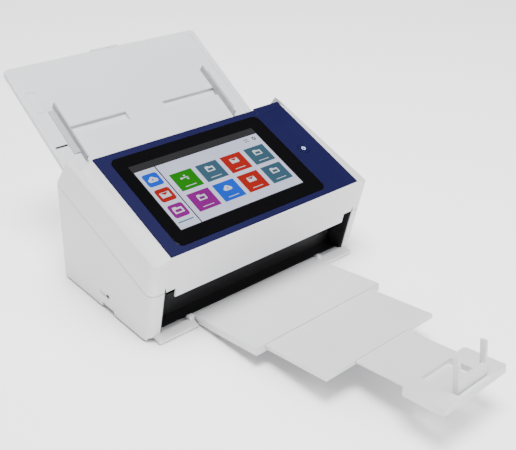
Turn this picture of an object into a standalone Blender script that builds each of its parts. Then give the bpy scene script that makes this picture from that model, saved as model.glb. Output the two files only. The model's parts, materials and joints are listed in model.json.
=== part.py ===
"""Sheet fed document scanner: a wedge-shaped body with a touch panel, an input tray and an output tray.

Lengths in this file are in millimetres and become metres where a mesh is made. The machine space has its
origin on the desk under the control panel's front edge, in the middle of the width: +X right, +Y back, +Z up.
"""

import math

import bmesh
import bpy
from mathutils import Matrix, Vector

MM = 0.001
GAP = 0.3

# Body
HALF_WIDTH = 159.0
PANEL_HALF = 138.0
PANEL_FRONT_Z = 112.2
PANEL_SLOPE = math.radians(21.37)
PANEL_LENGTH = 156.9
FRONT_LEAN = 0.2113
SHOULDER_FRONT_Z = 104.1
SHOULDER_REAR = (167.2, 162.7)
CHAMFER = (195.2, 130.5)
REAR_Y = 199.3
FLOOR_Z = 3.0
PAN_TOP = 5.6
PAN_FRONT_Y = 24.0
CORNER_R = 8.0
WALL = 2.5
SEAM_Z = 66.4
SEAM_BEND_Y = 20.0
SEAM_RISE = 0.354
SEAM_GAP = 0.4
LEDGE_Y = (136.0, 193.0)
ORIGIN_Y = -28.25

# Cover
HINGE = (11.26, 68.4)
HINGE_BEAD_R = 2.0
HINGE_PIN_R = 0.9
COVER_REAR_Y = 146.1
WING_INNER = 152.0
LIP_HALF = 127.35
LIP_Z = 54.6

# Exit slot
SLOT_HALF = 140.7
SLOT_FLOOR_Z = 7.4

# Glass and display, in panel space
GLASS = (-122.3, 9.4, 92.05, 147.2)
GLASS_R = 8.0
BUTTON_AT = (111.1, 74.4)
BUTTON_R = 7.4
LEVER = (96.0, 147.4, 137.6, 158.4)

# Paper path, a straight slope through the body and up the input tray
PATH_AT = (170.0, 117.8)
PATH_SLOPE = math.radians(32.08)
PAPER_N = 0.8
GUIDE_START = -148.0
GUIDE_END = 22.0
ROLLERS = {"feed": (-52.0, 12.0), "drive": (-84.0, 9.0), "exit": (-134.0, 9.0)}
PULLEY_R = {"feed": 11.0, "drive": 8.0, "exit": 8.0}
SHAFT_R = 3.0
TYRE_X = (48.0, 72.0)
FEED_TYRE_HALF = 20.0
IDLER_R = 7.0
SEPARATION_R = 10.0
SENSOR_AT = -105.0
FRAME_X = (145.2, 146.7)
PULLEY_X = (148.2, 154.2)
MOTOR_AT = (95.0, 28.0)
MOTOR_PULLEY_R = 5.0

# Input tray, in path space
TRAY_HALF = 143.2
TRAY_START = 24.0
TRAY_END = 193.9
TRAY_THICK = 6.0
TRAY_PIVOT = (27.0, -3.0)
GUIDE_WALL_X = (111.0, 113.0)
GUIDE_SPAN = (41.0, 125.0)
GUIDE_HEIGHT = 9.0
GUIDE_KEEL_S = (80.0, 92.0)
GUIDE_SLOT_FLOOR = -4.6
GUIDE_TRAVEL = 80.0

# Output tray, in a space on its pivot with -Y pointing away from the machine
OUT_PIVOT = (24.0, 8.5)
OUT_SLOPE = math.radians(8.5)
OUT_TOP = 1.5
OUT_LENGTH = 309.0
STAGE_1 = (95.0, 107.0)
STAGE_2 = (81.5, 95.0, 195.0)
END_PLATE = (49.0, 259.5)
BOSS_R = 4.0
STOP_HALF = 22.0
STOP_HEIGHT = 40.0
STOP_POST = 3.0
STOP_DEPTH = (-1.7, 1.7, 4.8)
STOP_BAR_TOP = 16.5


def clear_scene():
    for obj in list(bpy.data.objects):
        bpy.data.objects.remove(obj, do_unlink=True)


def new_collection(name):
    collection = bpy.data.collections.new(name)
    bpy.context.scene.collection.children.link(collection)
    return collection


def empty(name, parent=None, at=(0, 0, 0), tilt=0.0):
    """An empty at a place in its parent's space, turned about X."""
    obj = bpy.data.objects.new(name, None)
    obj.empty_display_size = 0.02
    obj.parent = parent
    obj.location = Vector(at) * MM
    obj.rotation_euler.x = tilt
    PARTS.objects.link(obj)
    return obj


def machine_space_on(axis_name, at):
    """An empty on a joint's axis, and inside it a space whose coordinates are the machine's."""
    axis = empty(axis_name, MACHINE, at)
    return empty(axis_name + "_space", axis, [-value for value in at])


def material(name, colour, roughness, metallic=0.0):
    made = bpy.data.materials.new(name)
    made.use_nodes = True
    shader = made.node_tree.nodes["Principled BSDF"]
    shader.inputs["Base Color"].default_value = (*colour, 1.0)
    shader.inputs["Roughness"].default_value = roughness
    shader.inputs["Metallic"].default_value = metallic
    made.diffuse_color = (*colour, 1.0)
    return made


def add_object(name, mesh, space, look=None):
    """A mesh object in the parts, or among the cutters when it has no look."""
    obj = bpy.data.objects.new(name, mesh)
    obj.parent = space
    if look:
        mesh.materials.append(LOOKS[look])
        PARTS.objects.link(obj)
    else:
        obj.hide_render = True
        obj.display_type = "WIRE"
        CUTTERS.objects.link(obj)
    return obj


def mesh_from(bm, name):
    bmesh.ops.recalc_face_normals(bm, faces=bm.faces)
    mesh = bpy.data.meshes.new(name)
    bm.to_mesh(mesh)
    bm.free()
    return mesh


def box(name, low, high, space, look=None):
    bm = bmesh.new()
    size = [high[i] - low[i] for i in range(3)]
    middle = [(high[i] + low[i]) / 2 for i in range(3)]
    place = Matrix.Translation(Vector(middle) * MM) @ Matrix.Diagonal((*[s * MM for s in size], 1))
    bmesh.ops.create_cube(bm, size=1.0, matrix=place)
    return add_object(name, mesh_from(bm, name), space, look)


def rod(name, radius, x0, x1, at, space, look=None, sides=24):
    """A cylinder along X with its origin on its axis."""
    bm = bmesh.new()
    place = Matrix.Translation(((x0 + x1) / 2 * MM, 0, 0)) @ Matrix.Rotation(math.pi / 2, 4, "Y")
    bmesh.ops.create_cone(
        bm, cap_ends=True, segments=sides, radius1=radius * MM, radius2=radius * MM,
        depth=(x1 - x0) * MM, matrix=place)
    obj = add_object(name, smooth(mesh_from(bm, name)), space, look)
    obj.location = (0, at[0] * MM, at[1] * MM)
    return obj


def disc(name, radius, at, z0, z1, space, look=None, sides=32):
    """A cylinder along Z of its space."""
    bm = bmesh.new()
    place = Matrix.Translation((0, 0, (z0 + z1) / 2 * MM))
    bmesh.ops.create_cone(
        bm, cap_ends=True, segments=sides, radius1=radius * MM, radius2=radius * MM,
        depth=(z1 - z0) * MM, matrix=place)
    obj = add_object(name, smooth(mesh_from(bm, name)), space, look)
    obj.location = (at[0] * MM, at[1] * MM, 0)
    return obj


def smooth(mesh):
    mesh.shade_smooth()
    mesh.set_sharp_from_angle(angle=math.radians(35))
    return mesh


def extruded(name, outlines, depth):
    """A mesh of closed outlines in XY, extruded evenly both ways along Z. An inner outline is a hole."""
    curve = bpy.data.curves.new(name, "CURVE")
    curve.dimensions = "2D"
    curve.fill_mode = "BOTH"
    curve.extrude = depth / 2 * MM
    for outline in outlines:
        spline = curve.splines.new("POLY")
        spline.points.add(len(outline) - 1)
        for point, (u, v) in zip(spline.points, outline):
            point.co = (u * MM, v * MM, 0, 1)
        spline.use_cyclic_u = True
    guide = bpy.data.objects.new(name + "_outline", curve)
    bpy.context.scene.collection.objects.link(guide)
    graph = bpy.context.evaluated_depsgraph_get()
    mesh = bpy.data.meshes.new_from_object(guide.evaluated_get(graph))
    bpy.data.objects.remove(guide, do_unlink=True)
    bm = bmesh.new()
    bm.from_mesh(mesh)
    bmesh.ops.remove_doubles(bm, verts=bm.verts, dist=1e-6)
    bmesh.ops.dissolve_limit(bm, angle_limit=math.radians(0.5), verts=bm.verts, edges=bm.edges)
    bpy.data.meshes.remove(mesh)
    return mesh_from(bm, name)


def prism(name, outlines, x0, x1, space, look=None):
    """Outlines of (y, z) points, extruded along X."""
    if not isinstance(outlines[0][0], (tuple, list)):
        outlines = [outlines]
    mesh = extruded(name, outlines, x1 - x0)
    turn = Matrix.Rotation(math.pi / 2, 4, "Z") @ Matrix.Rotation(math.pi / 2, 4, "X")
    mesh.transform(Matrix.Translation(((x0 + x1) / 2 * MM, 0, 0)) @ turn)
    return add_object(name, mesh, space, look)


def plate(name, outlines, z0, z1, space, look=None):
    """Outlines of (x, y) points, extruded along Z."""
    if not isinstance(outlines[0][0], (tuple, list)):
        outlines = [outlines]
    mesh = extruded(name, outlines, z1 - z0)
    mesh.transform(Matrix.Translation((0, 0, (z0 + z1) / 2 * MM)))
    return add_object(name, mesh, space, look)


def turned(name, profile, at, space, look, steps=28):
    """A (radius, x) profile turned about an X axis: a closed ring, or a solid when it starts on the axis."""
    bm = bmesh.new()
    verts = [bm.verts.new((r * MM, 0, x * MM)) for r, x in profile]
    closing = [] if profile[0][0] == 0 else verts[:1]
    for first, second in zip(verts, verts[1:] + closing):
        bm.edges.new((first, second))
    mesh = bpy.data.meshes.new(name)
    bm.to_mesh(mesh)
    bm.free()
    obj = add_object(name, mesh, space, look)
    obj.location = (0, at[0] * MM, at[1] * MM)
    obj.rotation_euler.y = math.pi / 2
    screw = obj.modifiers.new("turn", "SCREW")
    screw.steps = screw.render_steps = steps
    screw.use_merge_vertices = True
    screw.merge_threshold = 1e-6
    screw.use_smooth_shade = True
    return obj


def ring(outer, inner, x0, x1, round_by=0.0):
    """A turned ring's profile, its outer edges cut back by round_by."""
    return [(outer, x1 - round_by), (outer, x0 + round_by), (outer - round_by, x0), (inner, x0), (inner, x1),
            (outer - round_by, x1)] if round_by else [(outer, x1), (outer, x0), (inner, x0), (inner, x1)]


def rounded(x0, y0, x1, y1, r, steps=4):
    """A rectangle's outline with round corners."""
    corners = ((x1 - r, y1 - r, 0), (x0 + r, y1 - r, 90), (x0 + r, y0 + r, 180), (x1 - r, y0 + r, 270))
    points = []
    for cx, cy, start in corners:
        for i in range(steps + 1):
            a = math.radians(start + 90 * i / steps)
            points.append((cx + r * math.cos(a), cy + r * math.sin(a)))
    return points


def arc(centre, radius, start, end, steps):
    """Points of an arc, angles in degrees."""
    turns = [math.radians(start + (end - start) * i / steps) for i in range(steps + 1)]
    return [(centre[0] + radius * math.cos(a), centre[1] + radius * math.sin(a)) for a in turns]


def boolean(obj, other, operation):
    step = obj.modifiers.new(other.name, "BOOLEAN")
    step.operation = operation
    step.solver = "EXACT"
    step.object = other
    return obj


def cut(obj, *others):
    for other in others:
        boolean(obj, other, "DIFFERENCE")
    return obj


def keep(obj, other):
    return boolean(obj, other, "INTERSECT")


def join(obj, *others):
    for other in others:
        boolean(obj, other, "UNION")
    return obj


def front_y(z):
    """The front face's depth at a height: it leans back towards the desk."""
    return (PANEL_FRONT_Z - z) * FRONT_LEAN


def panel_z(y):
    return PANEL_FRONT_Z + y * math.tan(PANEL_SLOPE)


def seam_z(y):
    return SEAM_Z + max(0.0, y - SEAM_BEND_Y) * SEAM_RISE


def body_section(x, inset):
    """The body's (y, z) outline at one X: the shoulders fall outwards and the upright corners are round."""
    side = max(0.0, (abs(x) - PANEL_HALF) / (HALF_WIDTH - PANEL_HALF))
    into = max(0.0, abs(x) + inset - (HALF_WIDTH - CORNER_R))
    back = CORNER_R - math.sqrt(max(0.0, CORNER_R**2 - into**2)) + inset
    drop = inset / math.cos(PANEL_SLOPE)
    front_top = PANEL_FRONT_Z + side * (SHOULDER_FRONT_Z - PANEL_FRONT_Z)
    rear_top = panel_z(SHOULDER_REAR[0])
    rear_top += side * (SHOULDER_REAR[1] - rear_top)
    rise = (rear_top - front_top) / SHOULDER_REAR[0]
    start = front_y(front_top) + back
    top_z = front_top + rise * start - drop
    foot_z = FLOOR_Z + inset
    return [
        (front_y(foot_z) + back, foot_z),
        (start, top_z),
        (SHOULDER_REAR[0] - 0.6 * inset, rear_top - 1.2 * inset),
        (CHAMFER[0] - inset - 0.3 * (back - inset), CHAMFER[1] - 0.5 * inset),
        (REAR_Y - inset - 0.3 * (back - inset), foot_z),
    ]


def body_loft(name, space, inset=0.0, look=None):
    """The whole body as a loft between its sections, made smaller by inset on every side."""
    edge = HALF_WIDTH - CORNER_R
    reach = CORNER_R - inset
    right = [0.0, PANEL_HALF] + [edge + reach * math.sin(math.radians(a)) for a in (0, 30, 52, 72, 90)]
    stations = [-x for x in reversed(right[1:])] + right
    bm = bmesh.new()
    rings = []
    for x in stations:
        points = body_section(x, inset)
        rings.append([bm.verts.new(Vector((x, y, z)) * MM) for y, z in points])
    for first, second in zip(rings, rings[1:]):
        count = len(first)
        for i in range(count):
            bm.faces.new((first[i], first[(i + 1) % count], second[(i + 1) % count], second[i]))
    bm.faces.new(rings[0])
    bm.faces.new(list(reversed(rings[-1])))
    bmesh.ops.triangulate(bm, faces=bm.faces)
    return add_object(name, mesh_from(bm, name), space, look)


def above_seam(gap):
    """The (y, z) outline of everything above the seam, raised by gap."""
    rear = 240.0
    seam = [(-40, SEAM_Z + gap), (SEAM_BEND_Y, SEAM_Z + gap), (rear, seam_z(rear) + gap)]
    return seam + [(rear, 320), (-40, 320)]


def below_seam(gap=0.0):
    rear = 240.0
    seam = [(rear, seam_z(rear) - gap), (SEAM_BEND_Y, SEAM_Z - gap), (-40, SEAM_Z - gap)]
    return [(-40, -20), (rear, -20)] + seam


def path_point(s, n):
    """A point in path space as machine (y, z)."""
    c, d = math.cos(PATH_SLOPE), math.sin(PATH_SLOPE)
    return PATH_AT[0] + s * c - n * d, PATH_AT[1] + s * d + n * c


def roller_at(kind):
    """(s, n) of a driven roller's axis: its top just reaches the paper."""
    s, radius = ROLLERS[kind]
    return s, PAPER_N - 0.15 - radius


def make_side_cover(side):
    """A side shell below the seam, from the front pillar round to the rear corner."""
    name = ("left" if side < 0 else "right") + "_side_cover"
    shell = body_loft(name, MACHINE, 0.0, "white")
    low, high = sorted((side * 142.5, side * 170.0))
    cut(shell, body_loft(name + "_hollow", MACHINE, WALL))
    keep(shell, box(name + "_side", (low, -10, 0), (high, 230, 200), MACHINE))
    cut(shell, prism(name + "_top", above_seam(-SEAM_GAP), -170, 170, MACHINE))
    inner = HALF_WIDTH - WALL - 1.2
    cut(shell, box(name + "_rear", (-inner, 185, -5), (inner, 220, 200), MACHINE))
    cut(shell, box(name + "_floor", (-HALF_WIDTH + WALL, -5, -5), (HALF_WIDTH - WALL, 220, 6.0), MACHINE))
    cut(shell, box(name + "_lip", (-149.3, -5, -5), (149.3, 25.3, SLOT_FLOOR_Z + GAP), MACHINE))
    x0, x1 = sorted((side * (FRAME_X[1] + 0.5), side * (HALF_WIDTH - 1.0)))
    top = [(y, seam_z(y) - SEAM_GAP) for y in LEDGE_Y]
    ledge = top + [(y, z - 2.0) for y, z in reversed(top)]
    return join(shell, prism(name + "_ledge", ledge, x0, x1, MACHINE))


def make_rear_cover():
    """The rear shell between the side covers, with the socket openings and cooling slots."""
    name = "rear_cover"
    shell = body_loft(name, MACHINE, 0.0, "white")
    cut(shell, body_loft(name + "_hollow", MACHINE, WALL))
    half = HALF_WIDTH - WALL - 1.5
    keep(shell, box(name + "_middle", (-half, 187, 6.0), (half, 220, 124.5), MACHINE))
    for hole, low, high in PORT_HOLES:
        cut(shell, box("cut_" + hole, (low[0], 187, low[1]), (high[0], 220, high[1]), MACHINE))
    for i in range(6):
        z = 62 + 6 * i
        cut(shell, box(f"cut_vent_{i}", (-60, 187, z), (60, 220, z + 2.4), MACHINE))
    return shell


def make_bottom_pan():
    """The floor, with the sloping lip that shows under the exit slot and bosses for the output tray."""
    lip_bottom, rear = 1.2, REAR_Y - 3.3
    outline = [(12.5, lip_bottom), (13.0, 4.2), (22.4, SLOT_FLOOR_Z), (25.0, SLOT_FLOOR_Z), (25.0, PAN_TOP),
               (rear, PAN_TOP), (rear, FLOOR_Z), (PAN_FRONT_Y, FLOOR_Z), (22.2, lip_bottom)]
    pan = prism("bottom_pan", outline, -149, 149, MACHINE, "white")
    half, margin = HALF_WIDTH - WALL - 0.5, 0.1
    low, high = (-half, PAN_FRONT_Y + 4, FLOOR_Z + margin), (half, rear - 0.2, PAN_TOP - margin)
    join(pan, box("pan_floor", low, high, MACHINE))
    half = STAGE_1[0] + 2.3
    cut(pan, box("cut_tray_bay", (-half, 5, -5), (half, 30, 20), MACHINE))
    for side in (-1, 1):
        ends = sorted((side * half, side * (half + 6.0)))
        y, z = OUT_PIVOT
        cheek = [(y - BOSS_R, 3.4), (y + BOSS_R, 3.4)] + arc((y, z), BOSS_R, 0, 180, 12)
        join(pan, prism(f"boss_{side}", cheek, *ends, MACHINE))
    cut(pan, rod("cut_tray_pivot", 2.1, -half - 4, half + 4, OUT_PIVOT, MACHINE, sides=16))
    return pan


def make_frame(side):
    """A metal side plate that carries the shafts and the input tray's pivot."""
    name = ("left" if side < 0 else "right") + "_frame"
    outline = [(30, 6.3), (192, 6.3), (192, 126.5), (199, 126.5), (199, 134), (189, 134), (181, 122),
               (30, 64)]
    x0, x1 = sorted((side * FRAME_X[0], side * FRAME_X[1]))
    frame = prism(name, outline, x0, x1, MACHINE, "steel")
    for kind in ROLLERS:
        at = path_point(*roller_at(kind))
        cut(frame, rod(f"{name}_{kind}_bore", SHAFT_R + GAP, x0 - 1, x1 + 1, at, MACHINE))
    cut(frame, rod(name + "_tray_bore", 2.3, x0 - 1, x1 + 1, path_point(*TRAY_PIVOT), MACHINE, sides=16))
    if side > 0:
        cut(frame, rod(name + "_motor_bore", 4.0, x0 - 1, x1 + 1, MOTOR_AT, MACHINE, sides=16))
    cut(frame, box(name + "_window", (x0 - 1, 118, 20), (x1 + 1, 178, 70), MACHINE))
    return frame


def make_exit_liner():
    """The black liner of the exit slot: back, floor and two cheeks that rise into the cover's hinge ears."""
    half = SLOT_HALF + 1.5
    y, z = HINGE
    side_view = [(front_y(9) + 1.0, 7.8), (25.3, 7.8), (25.3, 6.0), (49, 6.0), (49, 63.5), (y + 3.2, 63.5),
                 (y + 1.7, z - 0.9)]
    side_view += arc((y, z), 1.7, 0, 180, 8)
    side_view += [(y - 1.55, SEAM_Z - 0.5), (front_y(62) + 1.0, 62)]
    liner = prism("exit_liner", side_view, -half, half, MACHINE, "black")
    cut(liner, box("cut_slot", (-SLOT_HALF, -5, 7.4), (SLOT_HALF, 47.2, 90), MACHINE))
    cut(liner, box("cut_slot_top", (-SLOT_HALF, -5, 33), (SLOT_HALF, 60, 90), MACHINE))
    cut(liner, box("cut_under_guide", (-half - 1, 43.5, 33), (half + 1, 60, 90), MACHINE))
    cut(liner, box("cut_slot_front", (-SLOT_HALF, -5, 0), (SLOT_HALF, 31, 90), MACHINE))
    cut(liner, rod("cut_ear", HINGE_PIN_R + 0.2, -half - 1, half + 1, HINGE, MACHINE, sides=12))
    return liner


def make_cover_shell():
    """The white upper shell: front face with its lip, shoulders, side walls, rear wall and two rear wings."""
    shell = body_loft("cover_shell", COVER, 0.0, "white")
    hollow = body_loft("cover_hollow", COVER, WALL)
    keep(hollow, box("cover_hollow_limit", (-170, -10, -10), (170, COVER_REAR_Y - WALL, 300), COVER))
    cut(shell, hollow)
    cut(shell, box("cut_chute", (-WING_INNER, COVER_REAR_Y, -10), (WING_INNER, 240, 300), COVER))
    for side in (-1, 1):
        x0, x1 = sorted((side * LIP_HALF, side * 170))
        cut(shell, prism(f"cut_below_{side}", below_seam(), x0, x1, COVER))
        y, z = HINGE
        relief = [(y, z - 8), (y - 8, z - 8), (y - 8, z)] + arc(HINGE, HINGE_BEAD_R, 180, 270, 5)
        cut(shell, prism(f"cut_bead_{side}", relief, x0, x1, COVER))
    middle = [(-40, -20), (240, -20), (240, seam_z(240)), (40, seam_z(40)), (30, LIP_Z), (-40, LIP_Z)]
    cut(shell, prism("cut_below_middle", middle, -LIP_HALF - 0.1, LIP_HALF + 0.1, COVER))
    for side in (-1, 1):
        x0, x1 = sorted((side * 128.5, side * 154.0))
        y, z = HINGE
        rail = [(y - 0.4, z - 1.9), (y + 3.4, z - 1.9), (y + 3.4, z + 5), (y + 0.2, z + 5)]
        join(shell, prism(f"hinge_rail_{side}", rail, x0, x1, COVER))
        x0, x1 = sorted((side * (SLOT_HALF - 0.35), side * (SLOT_HALF + 1.85)))
        cut(shell, box(f"cut_ear_slit_{side}", (x0, -5, 60), (x1, y + 5, z + 4.4), COVER))
        x0, x1 = sorted((side * 131.7, side * 152.3))
        cut(shell, rod(f"cut_pin_{side}", HINGE_PIN_R + 0.1, x0, x1, HINGE, COVER, sides=12))
    opening = box("cut_panel", (-PANEL_HALF - 0.3, 0.9, -WALL - 0.5), (PANEL_HALF + 0.3, 175, 20), PANEL)
    cut(shell, opening)
    return shell


def make_control_panel():
    x0, y0, x1, y1 = GLASS
    outer = rounded(-PANEL_HALF, 1.2, PANEL_HALF, PANEL_LENGTH - 0.3, 1.5, 2)
    hole = rounded(x0 - GAP, y0 - GAP, x1 + GAP, y1 + GAP, GLASS_R + GAP)
    panel = plate("control_panel", [outer, hole], -WALL, 0, PANEL, "blue")
    cut(panel, disc("cut_button", BUTTON_R + GAP, BUTTON_AT, -10, 10, PANEL))
    lx0, ly0, lx1, ly1 = LEVER
    cut(panel, box("cut_lever", (lx0 - GAP, ly0 - GAP, -10), (lx1 + 5, ly1 + 5, 10), PANEL))
    return panel


def make_display():
    x0, y0, x1, y1 = GLASS
    plate("touch_glass", rounded(x0, y0, x1, y1, GLASS_R), -1.6, 0.4, PANEL, "glass")
    box("display_module", (-112, 22, -8.5), (75, 136, -1.9), PANEL, "dark")
    box("display_board", (-100, 30, -14), (60, 120, -12), PANEL, "board")


def make_button():
    disc("power_button", BUTTON_R, BUTTON_AT, -6, 0.5, PANEL, "blue")


def make_lever():
    """The cover's release lever: a flap hinged on its front edge, with a raised grip at the rear."""
    x0, y0, x1, y1 = LEVER
    profile = [(y0, -2.4), (y1 - 4.5, -2.4), (y1, -0.8), (y1, 1.0), (y1 - 4.0, 1.4), (y1 - 6.5, 0.2),
               (y0, 0.0)]
    axis = empty("release_lever_axis", PANEL, (0, y0, -1.2))
    place = empty("release_lever_space", axis, (0, -y0, 1.2))
    prism("release_lever", profile, x0, x1, place, "blue")


def window(name, obj, x0, x1, s0, s1):
    cut(obj, box(name, (x0, s0, -40), (x1, s1, 40), PATH if obj.name.startswith("lower") else COVER_PATH))


def make_lower_guide():
    guide = box("lower_guide", (-143.2, GUIDE_START, -3.0), (143.2, GUIDE_END, 0), PATH, "dark")
    guide_windows(guide, -1)


def guide_windows(guide, side):
    """Openings in a paper guide for the rollers and glass; side is -1 below the paper, 1 above it."""
    reach = 1.5
    s, radius = ROLLERS["feed"]
    radius = radius if side < 0 else SEPARATION_R
    window(f"{guide.name}_feed", guide, -FEED_TYRE_HALF - reach, FEED_TYRE_HALF + reach,
           s - radius * 0.95 - reach, s + radius * 0.95 + reach)
    for kind in ("drive", "exit"):
        s, radius = ROLLERS[kind]
        radius = radius if side < 0 else IDLER_R
        for hand in (-1, 1):
            x0, x1 = sorted((hand * (TYRE_X[0] - reach), hand * (TYRE_X[1] + reach)))
            window(f"{guide.name}_{kind}_{hand}", guide, x0, x1, s - radius - reach, s + radius + reach)
    window(f"{guide.name}_sensor", guide, -114.3, 114.3, SENSOR_AT - 6.3, SENSOR_AT + 6.3)


def make_upper_guide():
    """The cover's paper guide, flared at the throat, with ears for the idlers and the separation roller."""
    start = GUIDE_START + 1
    outline = [(start, 2.2), (-60, 2.2), (-34, 8.0), (-34, 10.4), (-61, 5.0), (start, 5.0)]
    guide = prism("upper_guide", outline, -137.5, 137.5, COVER_PATH, "dark")
    guide_windows(guide, 1)
    for kind in ("drive", "exit"):
        s, _ = ROLLERS[kind]
        for hand in (-1, 1):
            for edge in (TYRE_X[0] - 4.6, TYRE_X[1] + 1.8):
                x0, x1 = sorted((hand * edge, hand * (edge + 2.8)))
                ear = box(f"ear_{kind}_{hand}_{edge:.0f}", (x0, s - 4, 3.5), (x1, s + 4, 12.5), COVER_PATH)
                join(guide, ear)
            x0, x1 = sorted((hand * (TYRE_X[0] - 6), hand * (TYRE_X[1] + 6)))
            cut(guide, rod(f"cut_idler_{kind}_{hand}", 1.8, x0, x1, (s, idler_n()), COVER_PATH, sides=12))
    s, _ = ROLLERS["feed"]
    for hand in (-1, 1):
        x0, x1 = sorted((hand * 22.5, hand * 26.0))
        join(guide, box(f"ear_separation_{hand}", (x0, s - 5, 3.0), (x1, s + 5, 16.5), COVER_PATH))
    cut(guide, rod("cut_separation", 2.8, -30, 30, (s, separation_n()), COVER_PATH, sides=16))
    return guide


def idler_n():
    return PAPER_N + 0.15 + IDLER_R


def separation_n():
    return PAPER_N + 0.15 + SEPARATION_R


def make_scan_units():
    """A scan glass and an image sensor on each side of the paper."""
    low, high = SENSOR_AT - 6, SENSOR_AT + 6
    box("lower_scan_glass", (-114, low, -2.7), (114, high, -0.3), PATH, "glass")
    box("lower_image_sensor", (-120, SENSOR_AT - 9, -17), (120, SENSOR_AT + 8.5, -3.4), PATH, "black")
    box("upper_scan_glass", (-114, low, 2.5), (114, high, 4.8), COVER_PATH, "glass")
    box("upper_image_sensor", (-120, SENSOR_AT - 9, 5.4), (120, SENSOR_AT + 8.5, 19), COVER_PATH, "black")


def make_driven_rollers():
    for kind in ROLLERS:
        at = roller_at(kind)
        _, radius = ROLLERS[kind]
        rod(f"{kind}_shaft", SHAFT_R, -148.0, 154.6, at, PATH, "steel")
        spans = {"feed_tyre": (-FEED_TYRE_HALF, FEED_TYRE_HALF)} if kind == "feed" else {
            f"{kind}_tyre_left": (-TYRE_X[1], -TYRE_X[0]), f"{kind}_tyre_right": TYRE_X}
        for name, (x0, x1) in spans.items():
            turned(name, ring(radius, SHAFT_R + GAP, x0, x1, 0.8), at, PATH, "rubber")
        turned(f"{kind}_pulley", pulley_profile(PULLEY_R[kind]), at, PATH, "black")


def pulley_profile(radius):
    """A flanged pulley: the belt runs between the flanges."""
    x0, x1 = PULLEY_X
    flange = radius + 2.4
    return [(flange, x1), (flange, x1 - 0.8), (radius, x1 - 0.8), (radius, x0 + 0.8), (flange, x0 + 0.8),
            (flange, x0), (SHAFT_R + GAP, x0), (SHAFT_R + GAP, x1)]


def make_idlers():
    for kind in ("drive", "exit"):
        s, _ = ROLLERS[kind]
        for hand, name in ((-1, "left"), (1, "right")):
            x0, x1 = sorted((hand * TYRE_X[0], hand * TYRE_X[1]))
            turned(f"{kind}_idler_{name}", idler_profile(x0, x1), (s, idler_n()), COVER_PATH, "white")
    s, _ = ROLLERS["feed"]
    at = (s, separation_n())
    rod("separation_shaft", 2.5, -28, 28, at, COVER_PATH, "steel")
    turned("separation_roller", ring(SEPARATION_R, 2.8, -18, 18, 0.8), at, COVER_PATH, "rubber")


def idler_profile(x0, x1):
    """A solid idler with stub axles, its ends closed on the axis."""
    right = [(0, x1 + 3.8), (1.5, x1 + 3.8), (1.5, x1), (IDLER_R, x1)]
    return right + [(IDLER_R, x0), (1.5, x0), (1.5, x0 - 3.8), (0, x0 - 3.8)]


def make_motor_and_belt():
    y, z = MOTOR_AT
    motor = box("drive_motor", (122, y - 21, z - 21), (144.9, y + 21, z + 21), MACHINE, "steel")
    join(motor, rod("motor_neck", 3.5, 144, 147.2, MOTOR_AT, MACHINE, sides=20))
    join(motor, rod("motor_shaft", 2.2, 146, 155, MOTOR_AT, MACHINE, sides=16))
    x0, x1 = PULLEY_X
    bore, flange = 2.5, MOTOR_PULLEY_R + 2.4
    profile = [(flange, x1), (flange, x1 - 0.8), (MOTOR_PULLEY_R, x1 - 0.8), (MOTOR_PULLEY_R, x0 + 0.8),
               (flange, x0 + 0.8), (flange, x0), (bore, x0), (bore, x1)]
    turned("motor_pulley", profile, MOTOR_AT, MACHINE, "brass")
    wheels = [(MOTOR_AT, MOTOR_PULLEY_R)]
    wheels += [(path_point(*roller_at(kind)), PULLEY_R[kind]) for kind in ROLLERS]
    inner = wrapped(wheels, 0.2)
    outer = wrapped(wheels, 1.5)
    prism("drive_belt", [outer, inner], x0 + 1.1, x1 - 1.1, MACHINE, "rubber")


def wrapped(wheels, stand_off):
    """The outline of a belt stretched round wheels: the hull of their circles."""
    points = []
    for centre, radius in wheels:
        points += arc(centre, radius + stand_off, 0, 352.5, 47)
    points.sort()

    def chain(ordered):
        hull = []
        for point in ordered:
            while len(hull) > 1 and turn_of(hull[-2], hull[-1], point) <= 1e-9:
                hull.pop()
            hull.append(point)
        return hull[:-1]

    return chain(points) + chain(list(reversed(points)))


def turn_of(a, b, c):
    return (b[0] - a[0]) * (c[1] - a[1]) - (b[1] - a[1]) * (c[0] - a[0])


def make_electronics():
    board = box("main_board", (-130, 62, 11.0), (-20, 172, 12.6), MACHINE, "board")
    for i, (x, y, w, d, h) in enumerate(((-110, 90, 22, 22, 3), (-70, 120, 16, 16, 2.4), (-60, 75, 26, 12, 9),
                                         (-118, 150, 16, 14, 12))):
        join(board, box(f"chip_{i}", (x, y, 12.2), (x + w, y + d, 12.6 + h), MACHINE))
    for hole, low, high in PORT_HOLES:
        look = "black" if hole == "power_inlet" else "steel"
        (x0, z0), (x1, z1) = low, high
        port = box(hole, (x0 + GAP, 182, z0 + GAP), (x1 - GAP, 198.2, z1 - GAP), MACHINE, look)
        wall = 1.6
        mouth = box(hole + "_mouth", (x0 + wall, 187, z0 + wall), (x1 - wall, 205, z1 - wall), MACHINE)
        cut(port, mouth)


def make_feet():
    for name, x, y in (("foot_front_left", -138, 40), ("foot_front_right", 138, 40),
                       ("foot_rear_left", -138, 182), ("foot_rear_right", 138, 182)):
        disc(name, 8.0, (x, y), 0, FLOOR_Z - GAP, MACHINE, "rubber", 24)


def make_pins():
    for side, name in ((-1, "left"), (1, "right")):
        x0, x1 = sorted((side * 132.0, side * 152.0))
        rod(f"{name}_hinge_pin", HINGE_PIN_R, x0, x1, HINGE, MACHINE, "steel", 12)
        x0, x1 = sorted((side * 138.0, side * 147.6))
        rod(f"{name}_tray_pin", 2.0, x0, x1, path_point(*TRAY_PIVOT), MACHINE, "steel", 16)


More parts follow.
